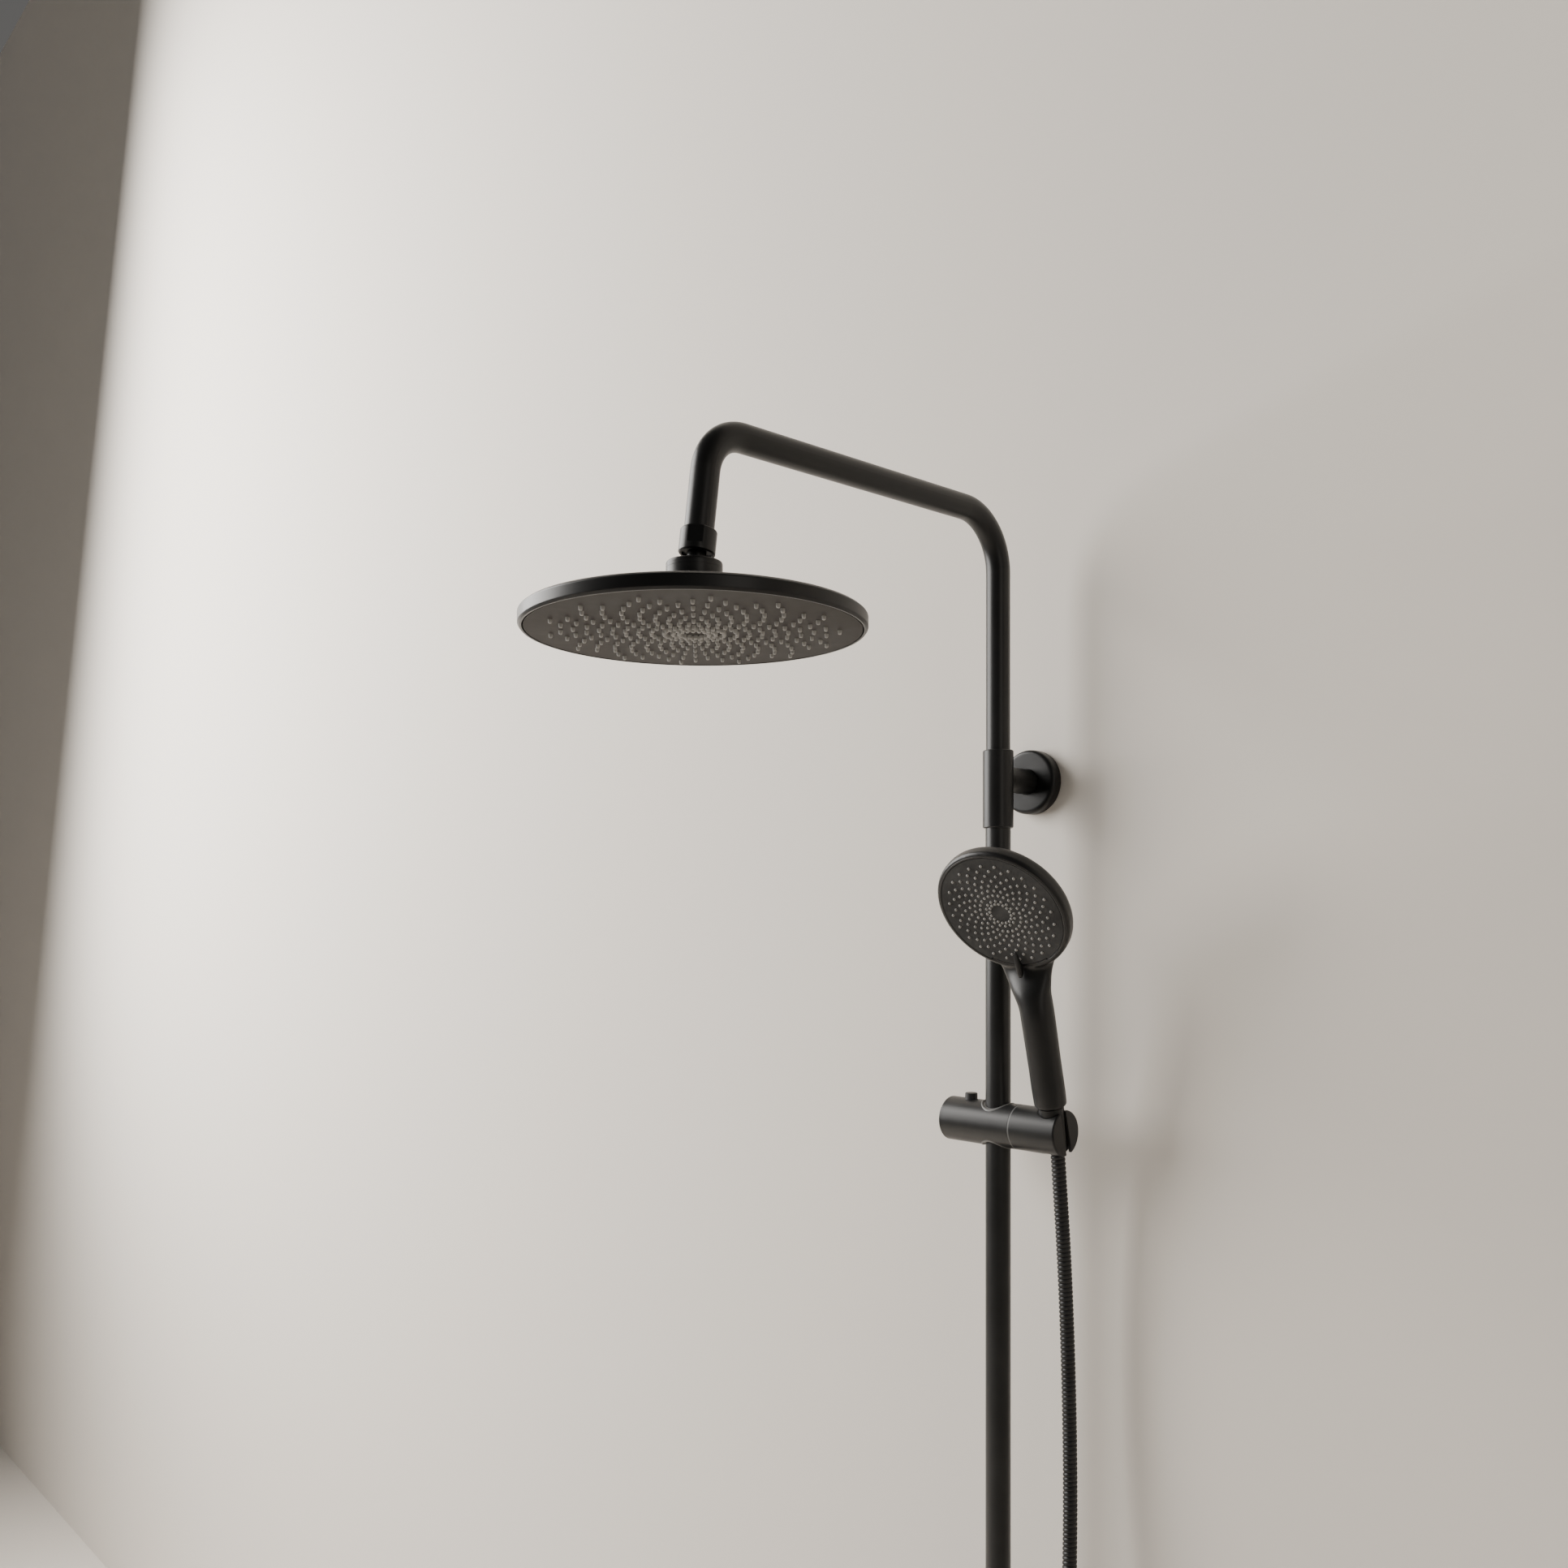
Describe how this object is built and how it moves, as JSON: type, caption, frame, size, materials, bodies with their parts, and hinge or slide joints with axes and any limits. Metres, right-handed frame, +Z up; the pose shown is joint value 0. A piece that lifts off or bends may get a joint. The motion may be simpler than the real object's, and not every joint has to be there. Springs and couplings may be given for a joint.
{
  "type": "rainfall shower column",
  "caption": "Wall-mounted shower column with a round swivelling rain head, a sliding handset holder with a handset and hose, and a thermostatic bar mixer.",
  "frame": {"origin": "middle of the upper bracket's wall face, on the wall plane", "axes": "+X to the right when facing the wall, +Y into the wall, +Z up"},
  "size_m": [0.2924, 0.548, 1.6344],
  "materials": {
    "satin_black": "satin powder coat",
    "black_plastic": "fine matte moulding",
    "satin_abs": "satin black moulding",
    "face_plate": "satin face",
    "nozzle_silicone": "translucent silicone",
    "grey_polymer": "matte",
    "black_rubber": "matte",
    "brass": "machined",
    "steel": "machined",
    "hose_black": "satin ribbed"
  },
  "bodies": {
    "column": {"wall_plate": "steel", "escutcheon": "satin_black", "bracket_sleeve": "satin_black", "grub_screw": "steel", "arm_bush": "black_plastic", "arm_o_ring": "black_rubber", "riser_tube": "satin_black", "riser_nut": "satin_black", "mixer_body": "satin_black", "union_hot": "brass", "union_nut_hot": "satin_black", "mixer_rose_hot": "satin_black", "union_cold": "brass", "union_nut_cold": "satin_black", "mixer_rose_cold": "satin_black", "thermostat_cartridge": "brass", "diverter_cartridge": "brass", "hose": "hose_black", "hose_nut_bottom": "satin_black"},
    "arm": {"arm_tube": "satin_black", "arm_nipple": "brass", "head_washer": "black_rubber", "ball_stem": "satin_black", "swivel_nut": "satin_black"},
    "seat": {"ball_seat": "black_plastic"},
    "head": {"head_shell": "satin_black", "head_face_plate": "face_plate", "head_nozzle_mat": "nozzle_silicone", "head_boss_ring": "satin_black"},
    "runner": {"slider_bush": "grey_polymer"},
    "slider": {"slider_body": "satin_abs", "slider_end_cap": "satin_abs", "button_spring": "steel", "brake_shoe": "black_rubber", "slider_seal_ring": "grey_polymer"},
    "button": {"slider_button": "black_plastic"},
    "holder": {"handset_holder": "satin_abs", "holder_insert": "black_plastic", "holder_pivot": "steel"},
    "handset": {"handset_body": "satin_abs", "handset_face_plate": "face_plate", "handset_nozzle_mat": "nozzle_silicone", "hose_nut_top": "satin_black"},
    "lever": {"selector_lever": "black_plastic"},
    "temperature": {"temperature_handle": "satin_black"},
    "stop": {"stop_button": "black_plastic"},
    "flow": {"flow_handle": "satin_black"}
  },
  "joints": [
    {"name": "arm_swivel", "type": "hinge", "parent": "column", "child": "arm", "pos_m": [0, -0.057, 0], "axis": [0, 0, 1], "range_deg": [-60, 60]},
    {"name": "head_tilt", "type": "hinge", "parent": "arm", "child": "seat", "pos_m": [0, -0.423, 0.1183], "axis": [1, 0, 0], "range_deg": [-20, 11]},
    {"name": "head_sway", "type": "hinge", "parent": "seat", "child": "head", "pos_m": [0, -0.423, 0.1183], "axis": [0, 1, 0], "range_deg": [-11, 11]},
    {"name": "slider_slide", "type": "slide", "parent": "column", "child": "runner", "axis": [0, 0, 1], "range_m": [-0.38, 0.19], "deforming": ["hose"]},
    {"name": "slider_swing", "type": "hinge", "parent": "runner", "child": "slider", "pos_m": [0, -0.057, -0.3176], "axis": [0, 0, 1], "range_deg": [-30, 30], "deforming": ["hose"]},
    {"name": "slider_button", "type": "slide", "parent": "slider", "child": "button", "axis": [0, 0, -1], "range_m": [0, 0.003], "stiffness_N_per_m": 1500, "springref_m": -0.002, "deforming": ["button_spring"]},
    {"name": "holder_tilt", "type": "hinge", "parent": "slider", "child": "holder", "pos_m": [0.061, -0.057, -0.3176], "axis": [1, 0, 0], "range_deg": [-6, 25], "deforming": ["hose"]},
    {"name": "handset_lift", "type": "slide", "parent": "holder", "child": "handset", "axis": [0, -0.2419, 0.9703], "range_m": [0, 0.06], "deforming": ["hose"]},
    {"name": "selector_turn", "type": "hinge", "parent": "handset", "child": "lever", "pos_m": [0.05666, -0.13121, -0.12431], "axis": [0.0614, -0.807, -0.5873], "range_deg": [-22, 22]},
    {"name": "temperature_turn", "type": "hinge", "parent": "column", "child": "temperature", "pos_m": [0.12, -0.057, -1.015], "axis": [1, 0, 0], "range_deg": [-150, 120]},
    {"name": "stop_press", "type": "slide", "parent": "temperature", "child": "stop", "axis": [0, 0, -1], "range_m": [0, 0.003], "stiffness_N_per_m": 1200, "springref_m": -0.002},
    {"name": "flow_turn", "type": "hinge", "parent": "column", "child": "flow", "pos_m": [-0.12, -0.057, -1.015], "axis": [1, 0, 0], "range_deg": [-90, 90]}
  ]
}
